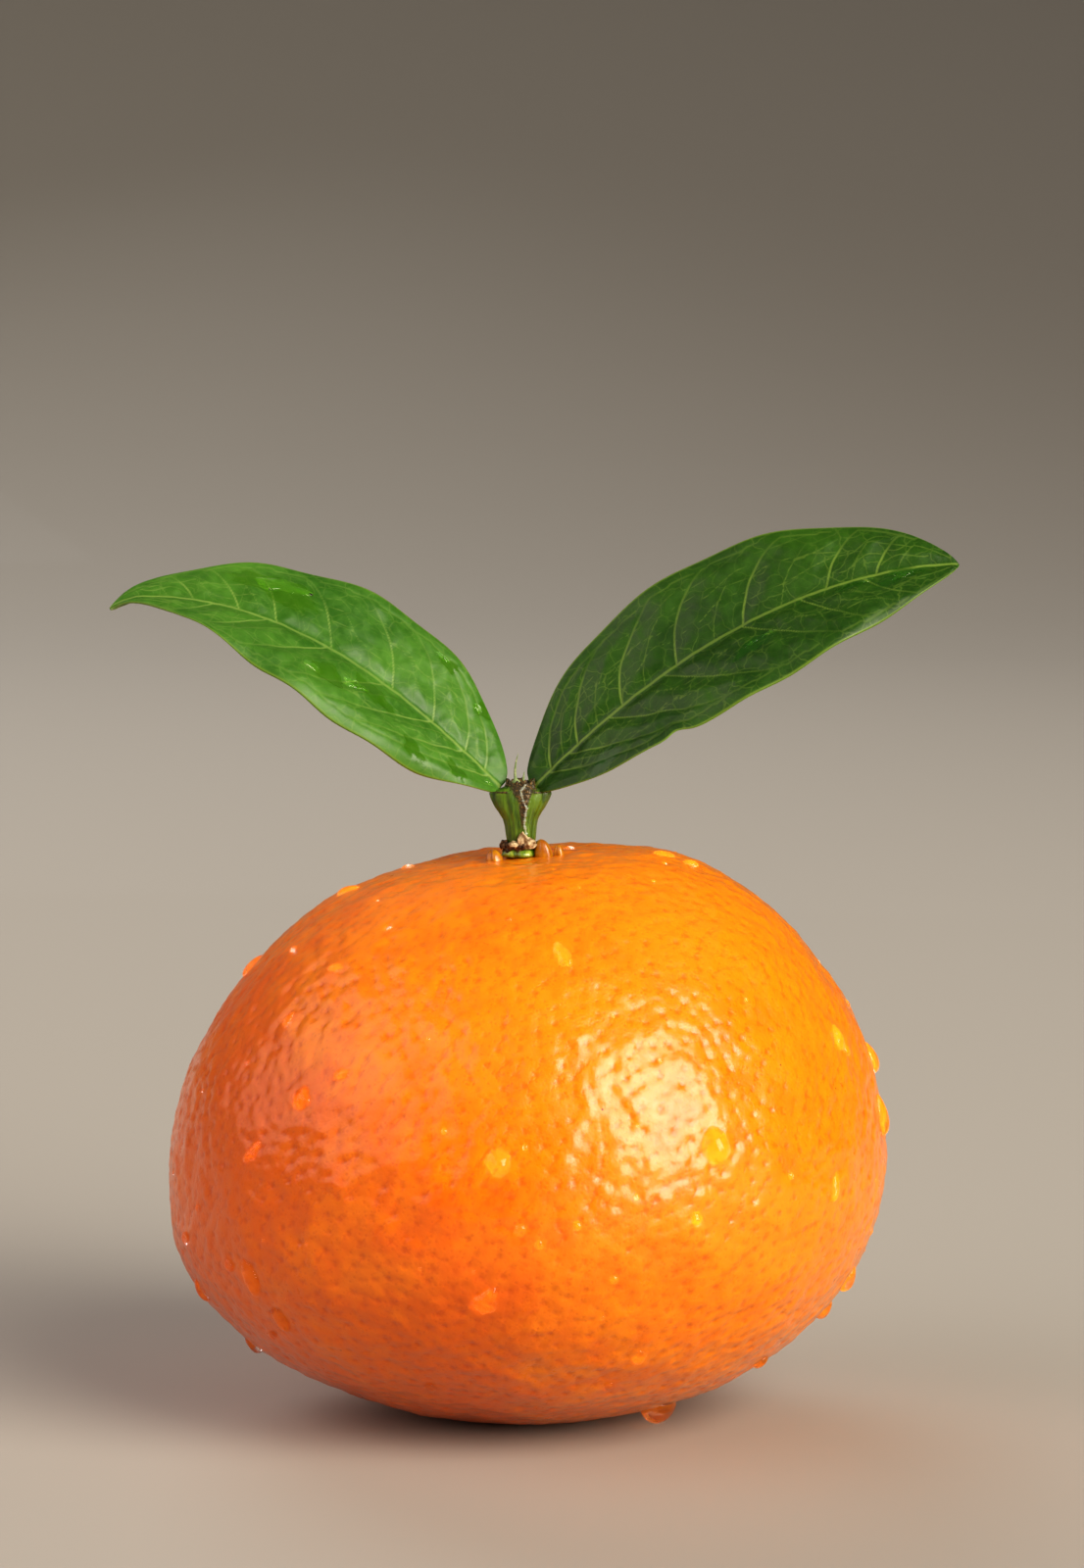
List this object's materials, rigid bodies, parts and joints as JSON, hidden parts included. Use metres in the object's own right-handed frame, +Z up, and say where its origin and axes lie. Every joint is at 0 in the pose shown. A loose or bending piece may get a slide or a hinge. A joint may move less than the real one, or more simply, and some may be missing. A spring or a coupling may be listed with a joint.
{
  "type": "orange",
  "caption": "Ripe orange of the flattened, mandarin-like kind, on a stub of its twig with a leaf spreading to either side; rests on a small flat spot.",
  "frame": {"origin": "middle of the small flat spot that the fruit rests on", "axes": "+Z up, +X towards the right-hand leaf, so that -Y is the front, to which the leaves' upper faces turn"},
  "size_m": [0.0903, 0.0764, 0.0948],
  "materials": {
    "peel": "waxy ripe citrus peel, pitted by oil glands, semi-gloss, wet in places",
    "green_button": "fresh green calyx, glossy and wet",
    "dry_bark": "dry crumbled bark, matt",
    "green_bark": "young green bark with a brown corky stripe, satin",
    "leaf": "waxy evergreen leaf, upper face satin with pale veins, under face matt and paler",
    "hair": "pale green stiff hair, matt"
  },
  "bodies": {
    "root": {"fruit": "peel", "calyx": "green_button", "dry_collar": "dry_bark", "stem": "green_bark", "leaf_left": "leaf", "leaf_right": "leaf", "bristle_long": "hair", "bristle_short": "hair"}
  },
  "joints": []
}
